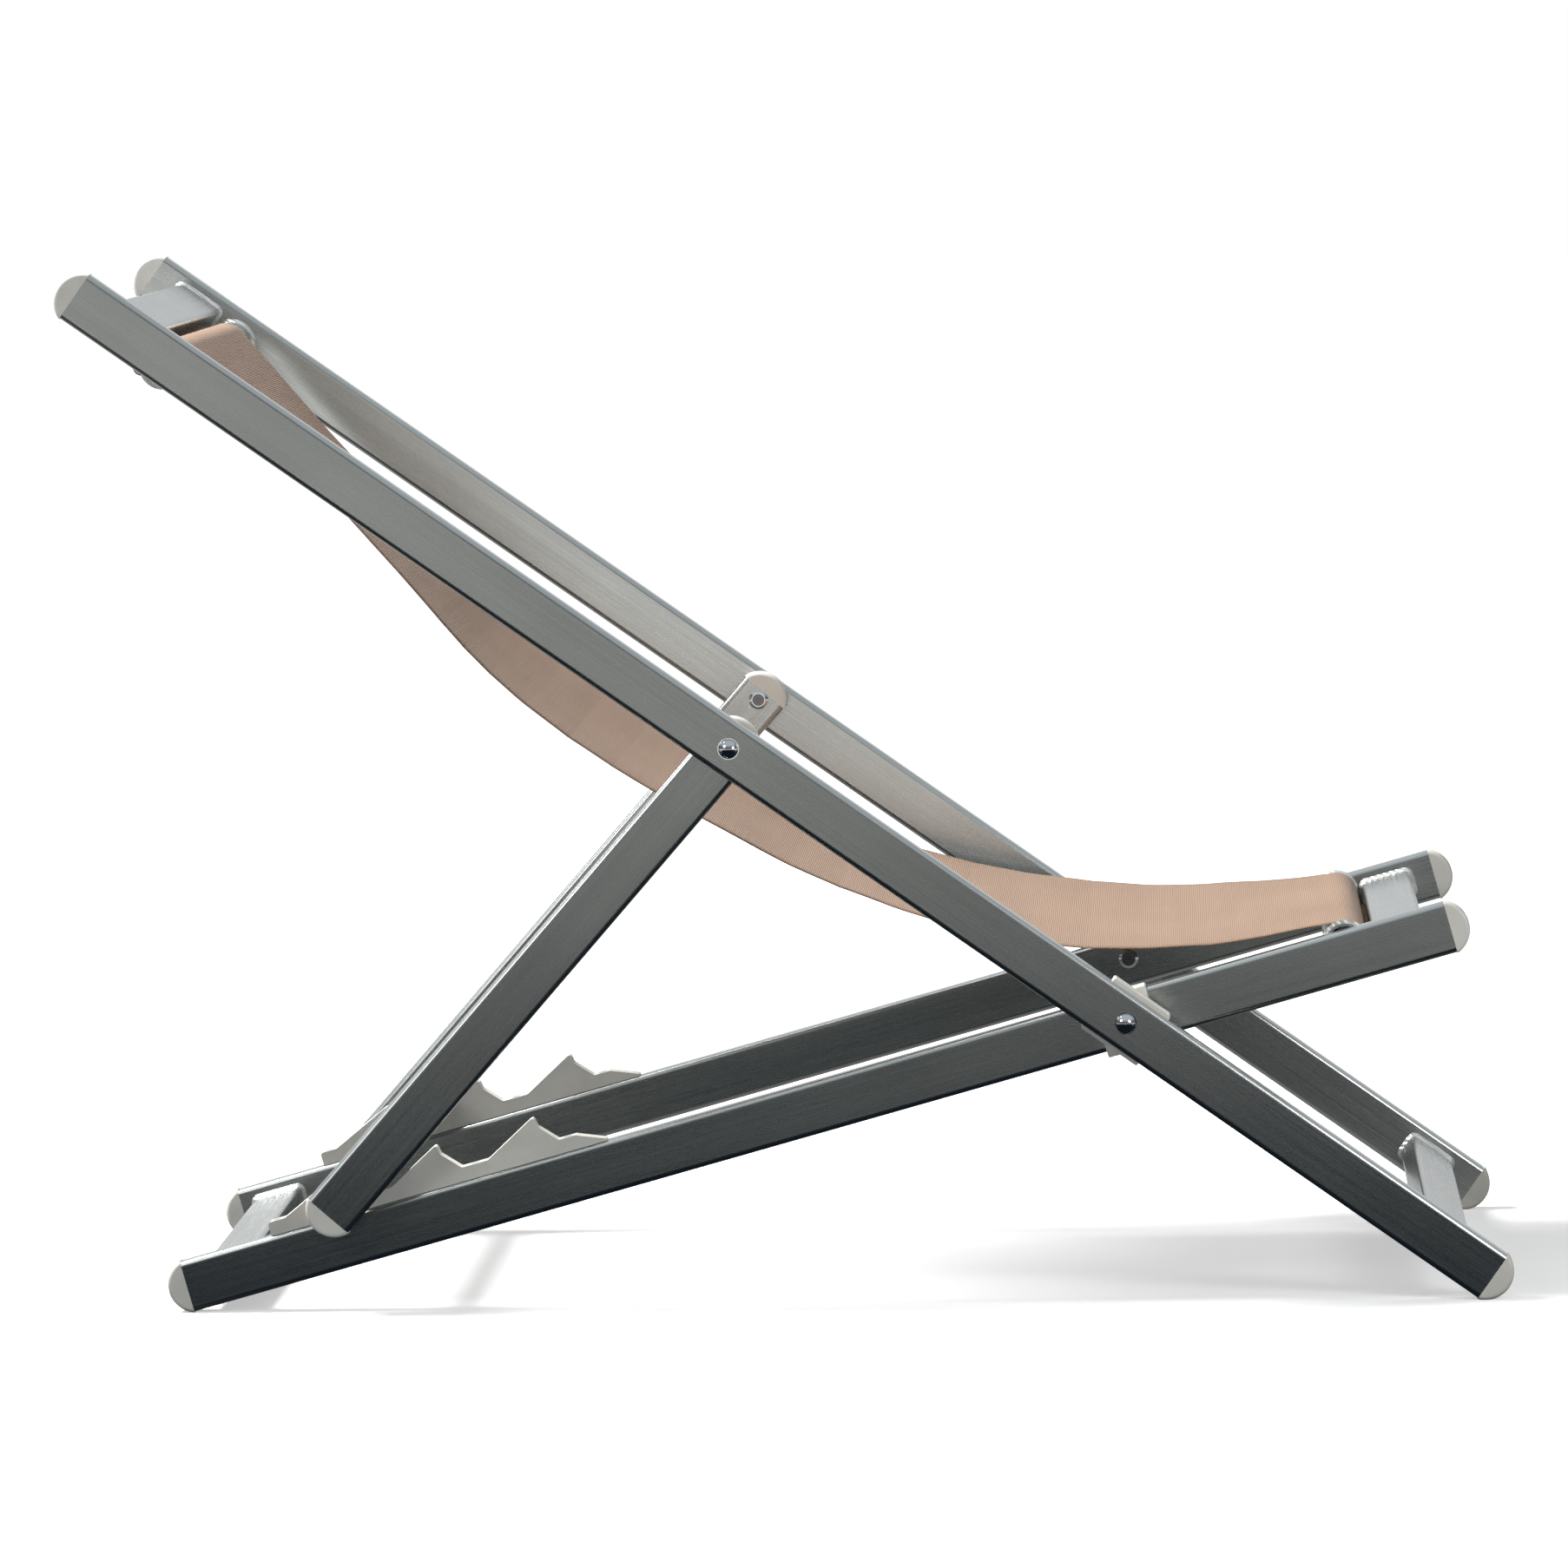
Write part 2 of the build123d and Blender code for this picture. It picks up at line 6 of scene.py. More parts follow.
import bmesh
import bpy
from bpy.props import FloatProperty, FloatVectorProperty, IntProperty, PointerProperty
from mathutils import Matrix, Quaternion, Vector


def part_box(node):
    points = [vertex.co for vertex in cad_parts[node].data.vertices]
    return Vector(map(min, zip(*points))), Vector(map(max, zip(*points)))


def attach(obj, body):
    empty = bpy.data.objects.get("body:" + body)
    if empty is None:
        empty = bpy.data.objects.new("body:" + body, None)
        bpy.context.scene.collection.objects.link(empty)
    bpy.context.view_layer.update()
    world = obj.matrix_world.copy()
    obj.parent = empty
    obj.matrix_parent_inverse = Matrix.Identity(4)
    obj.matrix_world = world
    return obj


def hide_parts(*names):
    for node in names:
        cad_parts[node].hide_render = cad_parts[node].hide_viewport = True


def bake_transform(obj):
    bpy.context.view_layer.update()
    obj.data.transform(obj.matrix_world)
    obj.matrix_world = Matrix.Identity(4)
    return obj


bl_info = {
    "name": "Deck Chair",
    "version": (1, 0, 0),
    "blender": (4, 5, 0),
    "location": "View3D > Sidebar > Deck Chair",
    "description": "Finishes a folding deck chair of brushed profile with a ribbed mesh sling",
    "category": "Object",
}

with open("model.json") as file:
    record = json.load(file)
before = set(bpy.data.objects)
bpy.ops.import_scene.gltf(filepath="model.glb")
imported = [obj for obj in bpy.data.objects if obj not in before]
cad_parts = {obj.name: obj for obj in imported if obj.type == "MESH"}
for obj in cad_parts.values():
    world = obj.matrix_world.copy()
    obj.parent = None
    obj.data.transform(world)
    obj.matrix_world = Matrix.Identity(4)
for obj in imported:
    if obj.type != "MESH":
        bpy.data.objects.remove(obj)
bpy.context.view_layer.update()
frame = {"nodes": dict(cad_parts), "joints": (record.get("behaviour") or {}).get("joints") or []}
nodes = frame["nodes"]
joints = {joint["name"]: joint for joint in frame["joints"]}

BACK = "back_frame"

# The two pivots, from the frame's own joints, and the slopes of the three frames
lower_pivot = Vector(joints["seat_fold"]["pos_m"])
upper_pivot = Vector(joints["prop_swing"]["pos_m"])
back_slope = atan2(upper_pivot.z - lower_pivot.z, lower_pivot.x - upper_pivot.x)


def middle(node):
    """The middle of a piece's box."""
    low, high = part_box(node)
    return (Vector(low) + Vector(high)) / 2


head_tube = middle("head_sling_tube")
front_tube = middle("front_sling_tube")
head_rod = middle("head_hem_rod")
front_rod = middle("front_hem_rod")
front_bar = middle("front_crossbar")
rear_bar = middle("rear_crossbar")
prop_bar = middle("prop_crossbar")
seat_slope = atan2(front_bar.z - rear_bar.z, front_bar.x - rear_bar.x)
prop_slope = atan2(upper_pivot.z - prop_bar.z, upper_pivot.x - prop_bar.x)
tube_low, tube_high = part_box("head_sling_tube")
tube_radius = (tube_high[2] - tube_low[2]) / 2
sling_low, sling_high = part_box("sling")
sling_width = sling_high[1] - sling_low[1]


class SlingSizes(bpy.types.PropertyGroup):
    thickness: FloatProperty(
        name="Thickness", description="Thickness of the mesh", default=0.0009, unit="LENGTH"
    )
    clearance: FloatProperty(
        name="Clearance", description="Air between mesh and tube", default=0.0003, unit="LENGTH"
    )
    hem_radius: FloatProperty(
        name="Hem radius", description="Middle radius of a hem pocket", default=0.0063, unit="LENGTH"
    )
    unevenness: FloatProperty(
        name="Edge lift", description="Share of the uneven lift of the two edges", default=1.0
    )
    hollow: FloatProperty(
        name="Hollow",
        description="How far the middle hangs below the edges",
        default=0.004,
        unit="LENGTH",
    )
    tooth: FloatProperty(
        name="Edge tooth", description="Depth of the cut edge's teeth", default=0.0008, unit="LENGTH"
    )
    rib_pitch: FloatProperty(
        name="Rib pitch",
        description="Distance between the mesh's cross ribs",
        default=0.00155,
        unit="LENGTH",
    )
    columns: IntProperty(name="Columns", description="Faces across the sling", default=28)
    rows: IntProperty(name="Rows", description="Faces along the sling", default=1100)


class FinishColours(bpy.types.PropertyGroup):
    metal: FloatVectorProperty(
        name="Profile", description="Brushed profile", default=(0.45, 0.46, 0.445), subtype="COLOR"
    )
    bead: FloatVectorProperty(
        name="Weld", description="Weld beads", default=(0.78, 0.78, 0.75), subtype="COLOR"
    )
    ivory: FloatVectorProperty(
        name="Ivory", description="Caps, racks and saddles", default=(0.88, 0.86, 0.79), subtype="COLOR"
    )
    # The mesh's two tones: partly its own colour, partly a painted highlight on the raised ribs and
    # painted shade in the gaps between them
    mesh_rib_and_highlight: FloatVectorProperty(
        name="Rib", description="Raised ribs of the sling", default=(0.45, 0.30, 0.205), subtype="COLOR"
    )
    mesh_gap_and_shade: FloatVectorProperty(
        name="Gap", description="Threads between the ribs", default=(0.27, 0.17, 0.118), subtype="COLOR"
    )
    steel: FloatVectorProperty(
        name="Steel", description="Nuts and screws", default=(0.55, 0.56, 0.57), subtype="COLOR"
    )


class StageSizes(bpy.types.PropertyGroup):
    camera_place: FloatVectorProperty(
        name="Camera place",
        description="Where the camera stands",
        default=(0.3063, -7.5475, 0.974),
        subtype="TRANSLATION",
    )
    camera_turn: FloatVectorProperty(
        name="Camera turn", description="Rotation vector in degrees", default=(4.503, 2.366, -1.179)
    )
    lens: FloatProperty(
        name="Lens", description="Focal length in millimetres", default=219.44, unit="CAMERA"
    )
    key_power: FloatProperty(
        name="Key", description="Power of the high lamp", default=205.0, unit="POWER"
    )
    fill_power: FloatProperty(
        name="Fill", description="Power of the lamp by the head", default=14.0, unit="POWER"
    )
    front_power: FloatProperty(
        name="Front", description="Power of the lamp by the seat", default=8.0, unit="POWER"
    )
    back_power: FloatProperty(
        name="Back", description="Power of the wide lamp behind", default=36.0, unit="POWER"
    )
    inner_power: FloatProperty(
        name="Inner", description="Power of the lamp between the sides", default=0.06, unit="POWER"
    )
    sky: FloatProperty(name="Sky", description="Strength of the surroundings", default=0.16)


# The part of a noise's range that most of its values fall in
NOISE_LOW = 0.3
NOISE_HIGH = 0.7


class Shader:
    """Adds nodes to one tree, so that each material reads as a list of steps."""

    def __init__(self, tree):
        self.tree = tree
        tree.nodes.clear()

    def add(self, kind, settings=(), **inputs):
        """A node with its settings and inputs. An input's spaces are written as underscores."""
        node = self.tree.nodes.new(kind)
        for key, value in dict(settings).items():
            setattr(node, key, value)
        for key, value in inputs.items():
            self.feed(node, key.replace("_", " "), value)
        return node

    def feed(self, node, key, value):
        """Set or link one input, named, or numbered where names repeat."""
        socket = node.inputs[int(key)] if key.isdigit() else node.inputs[key]
        if isinstance(value, bpy.types.NodeSocket):
            self.tree.links.new(value, socket)
        else:
            socket.default_value = value

    def maths(self, operation, first, second=0.0):
        node = self.add("ShaderNodeMath", {"operation": operation})
        self.feed(node, "0", first)
        self.feed(node, "1", second)
        return node.outputs[0]

    def blend(self, share, first, second, kind="MIX"):
        node = self.add("ShaderNodeMix", {"data_type": "RGBA", "blend_type": kind})
        self.feed(node, "0", share)
        self.feed(node, "6", first)
        self.feed(node, "7", second)
        return node.outputs[2]

    def bounds(self, value, low, high, to_low, to_high):
        """A value's range from low to high, mapped to another."""
        node = self.add("ShaderNodeMapRange")
        for key, item in zip("01234", (value, low, high, to_low, to_high)):
            self.feed(node, key, item)
        return node.outputs[0]

    def vary(self, noise, low, high):
        """A noise's usual values, spread from low to high."""
        return self.bounds(noise, NOISE_LOW, NOISE_HIGH, low, high)

    def noise(self, vector, scale, detail=3.0, roughness=0.5):
        node = self.add("ShaderNodeTexNoise", Vector=vector, Scale=scale, Detail=detail)
        node.inputs["Roughness"].default_value = roughness
        return node.outputs[0]

    def stretched(self, vector, scale):
        return self.add("ShaderNodeMapping", Vector=vector, Scale=scale).outputs[0]

    def length(self, vector):
        return self.add("ShaderNodeVectorMath", {"operation": "LENGTH"}, **{"0": vector}).outputs["Value"]

    def grey(self, tone):
        node = self.add("ShaderNodeCombineColor")
        for channel in "012":
            self.feed(node, channel, tone)
        return node.outputs[0]

    def either(self, share, first, second):
        """One shader or the other, by the share of the second."""
        node = self.add("ShaderNodeMixShader")
        self.feed(node, "0", share)
        self.feed(node, "1", first.outputs[0])
        self.feed(node, "2", second.outputs[0])
        return node

    def both(self, first, second):
        """Two shaders, added."""
        node = self.add("ShaderNodeAddShader")
        self.feed(node, "0", first.outputs[0])
        self.feed(node, "1", second.outputs[0])
        return node


def rgba(colour):
    return (*colour, 1.0)


def new_group(name, inputs, outputs):
    """An empty effect: the group, its shader, and the nodes of its inputs and outputs."""
    group = bpy.data.node_groups.new(name, "ShaderNodeTree")
    for label, kind, value in inputs:
        socket = group.interface.new_socket(label, in_out="INPUT", socket_type=kind)
        socket.default_value = value
    for label, kind in outputs:
        group.interface.new_socket(label, in_out="OUTPUT", socket_type=kind)
    shader = Shader(group)
    return group, shader, group.nodes.new("NodeGroupInput"), group.nodes.new("NodeGroupOutput")


# Brushed profile: stretches run along the grain and across it, tones are shares of the colour
SCRATCH_STRETCH = (1.6, 520.0, 520.0)
BAND_STRETCH = (0.9, 60.0, 60.0)
SCRATCH_TONE = (0.93, 1.08)
BAND_TONE = (0.96, 1.04)
CLOUD_TONE = (0.95, 1.05)
SCRATCH_RANGE = (0.25, 0.75)
BRUSHED_ROUGHNESS = (0.22, 0.34)
BAND_HEIGHT = 0.6
SCRATCH_DEPTH = 0.0002
BRUSHED_BUMP = 0.02


def brushed_group():
    """Long fine scratches along X of a turned copy of the object's own axes."""
    group, shader, given, out = new_group(
        "brushed_grain",
        [
            ("Colour", "NodeSocketColor", (0.5, 0.5, 0.5, 1.0)),
            ("Turn", "NodeSocketVector", (0.0, 0.0, 0.0)),
            ("Depth", "NodeSocketFloat", 0.15),
        ],
        [("Colour", "NodeSocketColor"), ("Roughness", "NodeSocketFloat"), ("Normal", "NodeSocketVector")],
    )
    place = shader.add("ShaderNodeTexCoord").outputs["Object"]
    turned = shader.add("ShaderNodeMapping", Vector=place, Rotation=given.outputs["Turn"]).outputs[0]
    fine = shader.stretched(turned, SCRATCH_STRETCH)
    coarse = shader.stretched(turned, BAND_STRETCH)
    scratches = shader.noise(fine, scale=3.0, detail=4.0, roughness=0.7)
    bands = shader.noise(coarse, scale=2.0, detail=2.0)
    cloud = shader.noise(place, scale=9.0)
    tone = shader.vary(scratches, *SCRATCH_TONE)
    tone = shader.maths("MULTIPLY", tone, shader.vary(bands, *BAND_TONE))
    tone = shader.maths("MULTIPLY", tone, shader.vary(cloud, *CLOUD_TONE))
    colour = shader.blend(1.0, given.outputs["Colour"], shader.grey(tone), "MULTIPLY")
    rough = shader.bounds(scratches, *SCRATCH_RANGE, *BRUSHED_ROUGHNESS)
    height = shader.maths("ADD", scratches, shader.maths("MULTIPLY", bands, BAND_HEIGHT))
    depth = given.outputs["Depth"]
    bump = shader.add("ShaderNodeBump", Height=height, Strength=depth, Distance=SCRATCH_DEPTH)
    group.links.new(colour, out.inputs["Colour"])
    group.links.new(rough, out.inputs["Roughness"])
    group.links.new(bump.outputs[0], out.inputs["Normal"])
    return group


# Moulded plastic and plain steel
MOTTLE_RANGE = (0.35, 0.75)
MOTTLE_SHARE = (0.0, 0.35)
MOULDED_ROUGHNESS = (0.38, 0.52)
GRAIN_DEPTH = 0.0006


def moulded_group():
    """A soft mottle and fine grain, built once for the ivory plastic and the plain steel."""
    if "moulded_grain" in bpy.data.node_groups:
        return bpy.data.node_groups["moulded_grain"]
    group, shader, given, out = new_group(
        "moulded_grain",
        [
            ("Colour", "NodeSocketColor", (0.5, 0.5, 0.5, 1.0)),
            ("Dirt", "NodeSocketColor", (0.4, 0.4, 0.4, 1.0)),
            ("Scale", "NodeSocketFloat", 60.0),
            ("Depth", "NodeSocketFloat", 0.1),
        ],
        [("Colour", "NodeSocketColor"), ("Roughness", "NodeSocketFloat"), ("Normal", "NodeSocketVector")],
    )
    place = shader.add("ShaderNodeTexCoord").outputs["Object"]
    mottle = shader.noise(place, scale=22.0, detail=4.0, roughness=0.55)
    grain = shader.noise(place, scale=given.outputs["Scale"])
    share = shader.bounds(mottle, *MOTTLE_RANGE, *MOTTLE_SHARE)
    colour = shader.blend(share, given.outputs["Colour"], given.outputs["Dirt"])
    rough = shader.vary(grain, *MOULDED_ROUGHNESS)
    depth = given.outputs["Depth"]
    bump = shader.add("ShaderNodeBump", Height=grain, Strength=depth, Distance=GRAIN_DEPTH)
    group.links.new(colour, out.inputs["Colour"])
    group.links.new(rough, out.inputs["Roughness"])
    group.links.new(bump.outputs[0], out.inputs["Normal"])
    return group


def new_material(name, metallic, inputs=()):
    material = bpy.data.materials.new(name)
    material.use_nodes = True
    shader = Shader(material.node_tree)
    surface = shader.add("ShaderNodeBsdfPrincipled", Metallic=metallic)
    for key, value in dict(inputs).items():
        surface.inputs[key].default_value = value
    shader.add("ShaderNodeOutputMaterial", Surface=surface.outputs[0])
    return material, shader, surface


def with_group(name, metallic, group, inputs=(), **given):
    """A material whose colour, roughness and grain come from one effect."""
    material, shader, surface = new_material(name, metallic, inputs)
    effect = shader.add("ShaderNodeGroup", {"node_tree": group}, **given)
    shader.feed(surface, "Base Color", effect.outputs["Colour"])
    shader.feed(surface, "Roughness", effect.outputs["Roughness"])
    shader.feed(surface, "Normal", effect.outputs["Normal"])
    return material


def metal_materials(colours):
    """One brushed finish per direction of grain: along each frame's rails, and across the chair."""
    group = brushed_group()
    turns = {
        "back": (0.0, -back_slope, 0.0),
        "seat": (0.0, seat_slope, 0.0),
        "prop": (0.0, prop_slope, 0.0),
        "cross": (0.0, 0.0, pi / 2),
    }
    return {
        name: with_group(
            f"brushed_{name}", 1.0, group, Colour=rgba(colours.metal), Turn=turn, Depth=BRUSHED_BUMP
        )
        for name, turn in turns.items()
    }


def ivory_material(colours):
    """Moulded ivory nylon, which lets a little light in."""
    return with_group(
        "moulded_ivory",
        0.0,
        moulded_group(),
        {"Subsurface Weight": 0.08, "Subsurface Radius": (0.004, 0.003, 0.002)},
        Colour=rgba(colours.ivory),
        Dirt=(0.50, 0.47, 0.40, 1.0),
        Scale=260.0,
        Depth=0.03,
    )


POLISHED_ROUGHNESS = (0.08, 0.16)
PLAIN_STEEL_SHARE = 0.45


def polished_material(colours):
    """Polished steel with a slight haze."""
    material, shader, surface = new_material("polished_nut", 1.0, {"Base Color": rgba(colours.steel)})
    haze = shader.noise(shader.add("ShaderNodeTexCoord").outputs["Object"], scale=300.0, detail=2.0)
    shader.feed(surface, "Roughness", shader.vary(haze, *POLISHED_ROUGHNESS))
    return material


def plain_steel_material(colours):
    """The screws' darker steel."""
    return with_group(
        "plain_steel",
        1.0,
        moulded_group(),
        Colour=rgba(tuple(PLAIN_STEEL_SHARE * part for part in colours.steel)),
        Dirt=(0.10, 0.09, 0.08, 1.0),
        Scale=400.0,
        Depth=0.12,
    )


# Ribbed mesh: stretches run across the sling and along it, tones are shares of the colour
DRIFT_STRETCH = (14.0, 90.0, 1.0)
DRIFT_PITCHES = 0.5
THREAD_PITCHES = 1.6
THREAD_SLANT = 0.5
THREAD_HEIGHT = 0.3
RIB_FULLNESS = 0.7
RIB_BUMP = 0.55
RIB_DEPTH = 0.0004
BAR_STRETCH = (3.0, 60.0, 1.0)
BAR_TONE = (0.96, 1.04)
CLOTH_TONE = (0.94, 1.06)
THREAD_TONE = (0.93, 1.05)


def wave(shader, angle):
    """A sine from 0 to 1."""
    return shader.bounds(shader.maths("SINE", angle), -1.0, 1.0, 0.0, 1.0)


def rib_material(colours, sizes):
    """Mesh with raised cross ribs: UV x runs across the sling in metres, y along it."""
    material, shader, surface = new_material(
        "ribbed_mesh", 0.0, {"Roughness": 0.62, "Specular IOR Level": 0.2, "Sheen Weight": 0.05}
    )
    uv = shader.add("ShaderNodeUVMap", {"uv_map": "cloth"}).outputs[0]
    split = shader.add("ShaderNodeSeparateXYZ", Vector=uv)
    across, along = split.outputs[0], split.outputs[1]
    drift = shader.noise(shader.stretched(uv, DRIFT_STRETCH), scale=1.0)
    drifted = shader.maths("MULTIPLY", drift, sizes.rib_pitch * DRIFT_PITCHES)
    along = shader.maths("ADD", along, drifted)
    rib_angle = shader.maths("MULTIPLY", along, 2 * pi / sizes.rib_pitch)
    thread_angle = shader.maths("MULTIPLY", across, 2 * pi / (sizes.rib_pitch * THREAD_PITCHES))
    slant = shader.maths("MULTIPLY", rib_angle, THREAD_SLANT)
    thread = wave(shader, shader.maths("ADD", thread_angle, slant))
    raised = shader.maths("POWER", wave(shader, rib_angle), RIB_FULLNESS)
    bars = shader.noise(shader.stretched(uv, BAR_STRETCH), scale=1.0, detail=4.0, roughness=0.6)
    cloud = shader.noise(uv, scale=7.0)
    tone = shader.maths("MULTIPLY", shader.vary(bars, *BAR_TONE), shader.vary(cloud, *CLOTH_TONE))
    tone = shader.maths("MULTIPLY", tone, shader.bounds(thread, 0.0, 1.0, *THREAD_TONE))
    # Painted highlight and shade: the ribs take the lighter colour and the gaps between them the darker
    # one
    colour = shader.blend(raised, rgba(colours.mesh_gap_and_shade), rgba(colours.mesh_rib_and_highlight))
    colour = shader.blend(1.0, colour, shader.grey(tone), "MULTIPLY")
    height = shader.maths("ADD", raised, shader.maths("MULTIPLY", thread, THREAD_HEIGHT))
    bump = shader.add("ShaderNodeBump", Height=height, Strength=RIB_BUMP, Distance=RIB_DEPTH)
    shader.feed(surface, "Base Color", colour)
    shader.feed(surface, "Normal", bump.outputs[0])
    return material


SOOT_COLOUR = (0.16, 0.155, 0.15, 1.0)
SOOT_RANGE = (0.5, 0.8)
SOOT_SHARE = (0.0, 0.25)
BEAD_BUMP = 0.45
BEAD_DEPTH = 0.0008


def bead_material(colours):
    """Bright rippled weld metal."""
    material, shader, surface = new_material("weld_ripple", 0.6, {"Roughness": 0.4})
    place = shader.add("ShaderNodeTexCoord").outputs["Object"]
    ripple = shader.add(
        "ShaderNodeTexWave", {"bands_direction": "DIAGONAL"}, Vector=place, Scale=95.0, Distortion=2.2
    )
    lumps = shader.noise(place, scale=190.0, roughness=0.6)
    soot = shader.noise(place, scale=60.0, roughness=0.6)
    share = shader.bounds(soot, *SOOT_RANGE, *SOOT_SHARE)
    colour = shader.blend(share, rgba(colours.bead), SOOT_COLOUR)
    height = shader.maths("ADD", ripple.outputs["Fac"], lumps)
    bump = shader.add("ShaderNodeBump", Height=height, Strength=BEAD_BUMP, Distance=BEAD_DEPTH)
    shader.feed(surface, "Base Color", colour)
    shader.feed(surface, "Normal", bump.outputs[0])
    return material


def pieces(*words):
    """The frame's pieces whose names hold one of the words."""
    return [node for node in nodes if any(word in node for word in words)]


def paint(chosen, material):
    """Give the chosen pieces of the frame one material, and stop if there are none."""
    if not chosen:
        raise RuntimeError(f"The frame holds no piece for {material.name}")
    for node in chosen:
        slots = nodes[node].data.materials
        slots.clear()
        slots.append(material)


# The sling's line in the side plane: the share of the way from the head tube to the front tube,
# and how far the line hangs below the straight one there, as a share of the same distance
SAG_SHARES = [
    (0.223, 0.072),
    (0.307, 0.109),
    (0.397, 0.130),
    (0.516, 0.137),
    (0.635, 0.135),
    (0.729, 0.118),
    (0.823, 0.087),
    (0.907, 0.045),
]
# How much of the shorter run beside a bend its arc takes up
BEND_SHARE = 0.45
ARC_STEP = radians(4)
HEM_TURN = radians(325)
HEM_STEPS = 26
# Beyond this share of the half width a point belongs to the cut edge
EDGE_SHARE = 0.999


def flat(vector):
    """A place in the side plane."""
    return (vector.x, vector.z)


def swung(arm, angle):
    """An arm in the side plane, swung by an angle."""
    return Vector((arm.x * cos(angle) - arm.y * sin(angle), arm.x * sin(angle) + arm.y * cos(angle)))


def tangent_corner(centre, radius, outside, drop_from, drop_to):
    """Where the line from outside, tangent to the upper side of a circle, meets the line of the slot."""
    heading = atan2(centre[1] - outside[1], centre[0] - outside[0])
    side = 1 if centre[0] > outside[0] else -1
    swing = heading + side * asin(radius / dist(outside, centre))
    run = Vector((cos(swing), sin(swing)))
    drop = Vector((drop_to[0] - drop_from[0], drop_to[1] - drop_from[1]))
    offset = Vector((drop_from[0] - outside[0], drop_from[1] - outside[1]))
    along = offset.cross(drop) / run.cross(drop)
    return (outside[0] + run.x * along, outside[1] + run.y * along)


def rounded_line(route, bends):
    """Points along a route whose inner corners are rounded to the given radii."""
    points = [Vector(route[0])]
    for *corner, radius in zip(route, route[1:], route[2:], bends):
        before, here, after = map(Vector, corner)
        into = (here - before).normalized()
        out = (after - here).normalized()
        turn = into.angle_signed(out)
        reach = radius * tan(abs(turn) / 2)
        start = here - into * reach
        side = Vector((-into.y, into.x)) * (-1 if turn > 0 else 1)
        centre = start + side * radius
        steps = max(2, round(abs(turn) / ARC_STEP))
        for i in range(steps + 1):
            angle = -turn * i / steps
            arm = start - centre
            points.append(centre + swung(arm, angle))
    points.append(Vector(route[-1]))
    return points


def sling_route(sizes):
    """The sling's line: up the gap, over the head tube, along the sag, over the front tube and down."""
    wrap = tube_radius + sizes.clearance + sizes.thickness / 2
    head_up = Vector((sin(back_slope), cos(back_slope)))
    seat_up = Vector((-sin(seat_slope), cos(seat_slope)))
    head, front = flat(head_tube), flat(front_tube)
    sag = []
    for along, below in SAG_SHARES:
        x = head[0] + (front[0] - head[0]) * along + below * (front[1] - head[1])
        z = head[1] + (front[1] - head[1]) * along - below * (front[0] - head[0])
        sag.append((x, z))
    head_low, front_low = Vector(flat(head_rod)), Vector(flat(front_rod))
    head_start = head_low + head_up * sizes.hem_radius
    front_end = front_low + seat_up * sizes.hem_radius
    head_corner = tangent_corner(head, wrap, sag[0], head_low, head_low + head_up)
    front_corner = tangent_corner(front, wrap, sag[-1], front_low, front_low + seat_up)
    route = [tuple(head_start), head_corner] + sag + [front_corner, tuple(front_end)]
    bends = [wrap]
    for before, here, after in zip(route[1:], route[2:], route[3:-1]):
        into = atan2(here[1] - before[1], here[0] - before[0])
        out = atan2(after[1] - here[1], after[0] - here[0])
        shorter = min(dist(before, here), dist(here, after))
        bends.append(shorter * BEND_SHARE / tan(abs(out - into) / 2))
    bends.append(wrap)
    line = rounded_line(route, bends)
    return hem_turns(head_low, head_up, sizes, 1) + line + hem_turns(front_low, seat_up, sizes, -1)


def hem_turns(rod, up, sizes, way):
    """The pocket's round: nearly a full turn about the hem rod, ending at the pocket's top."""
    points = []
    for i in range(HEM_STEPS):
        angle = HEM_TURN * (HEM_STEPS - i) / HEM_STEPS * way
        points.append(rod + swung(up, angle) * sizes.hem_radius)
    return points if way > 0 else points[::-1]


def spread(points, count):
    """Even places along a line of points, with the distance of each from the start."""
    lengths = [0.0]
    for a, b in zip(points, points[1:]):
        lengths.append(lengths[-1] + (b - a).length)
    found = []
    at = 0
    for i in range(count + 1):
        goal = lengths[-1] * i / count
        while at < len(points) - 2 and lengths[at + 1] < goal:
            at += 1
        share = (goal - lengths[at]) / (lengths[at + 1] - lengths[at])
        found.append((points[at].lerp(points[at + 1], share), goal))
    return found, lengths[-1]


def make_object(name, bm, material):
    """An object at the origin with a smooth mesh of one material."""
    mesh = bpy.data.meshes.new(name)
    bm.to_mesh(mesh)
    bm.free()
    obj = bpy.data.objects.new(name, mesh)
    bpy.context.scene.collection.objects.link(obj)
    mesh.materials.append(material)
    for polygon in mesh.polygons:
        polygon.use_smooth = True
    return obj


# How far each edge hangs above the sling's middle line: share of the length, right edge, left edge
EDGE_LIFTS = [
    (0.0, 0.0, 0.0),
    (0.08, 0.0, 0.0),
    (0.15, 0.0027, -0.001),
    (0.20, 0.0058, 0.0),
    (0.30, 0.0070, 0.009),
    (0.40, 0.0062, 0.014),
    (0.50, 0.0036, 0.013),
    (0.60, 0.0002, 0.010),
    (0.75, -0.0065, 0.0082),
    (0.85, -0.0040, 0.005),
    (0.93, 0.0, 0.0),
    (1.0, 0.0, 0.0),
]


def edge_lift(along, across):
    """The lift at a share of the length and a share across, from -1 on the right to 1 on the left."""
    for before, after in zip(EDGE_LIFTS, EDGE_LIFTS[1:]):
        if along <= after[0]:
            break
    share = (along - before[0]) / (after[0] - before[0])
    share = share * share * (3 - 2 * share)
    right = before[1] + (after[1] - before[1]) * share
    left = before[2] + (after[2] - before[2]) * share
    return right + (left - right) * (across + 1) / 2


